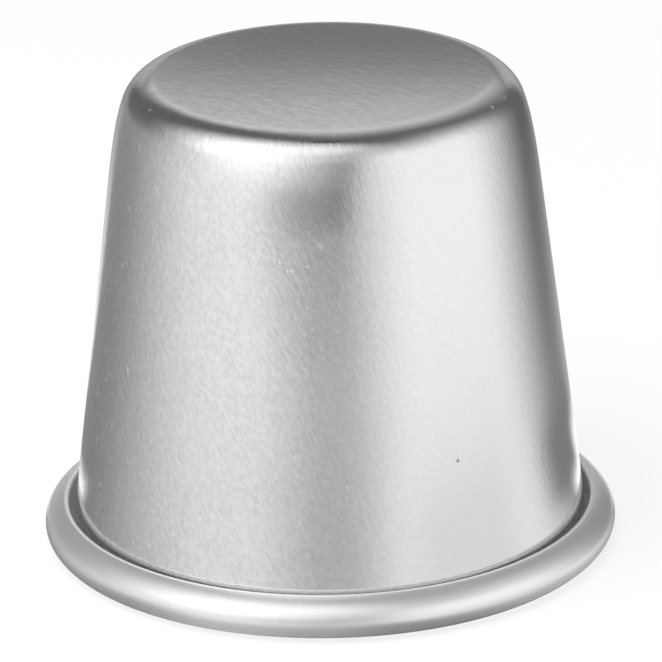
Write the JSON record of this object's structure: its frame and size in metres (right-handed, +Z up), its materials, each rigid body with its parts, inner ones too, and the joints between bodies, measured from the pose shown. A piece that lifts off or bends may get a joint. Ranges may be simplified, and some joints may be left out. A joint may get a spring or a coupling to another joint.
{
  "type": "baba mould",
  "caption": "Small round tapered baking mould drawn from one aluminium sheet, with a flat base and an open rolled rim, standing mouth down.",
  "frame": {"origin": "centre of the mouth, on the surface that the rolled rim stands on", "axes": "+Z up along the cup's axis from the mouth to the flat base; the cup is round, so +X and +Y are free, with +Y away from the viewer of the picture"},
  "size_m": [0.07, 0.07, 0.059],
  "materials": {
    "aluminium": "satin, finely brushed"
  },
  "bodies": {
    "root": {"mould_cup": "aluminium"}
  },
  "joints": []
}
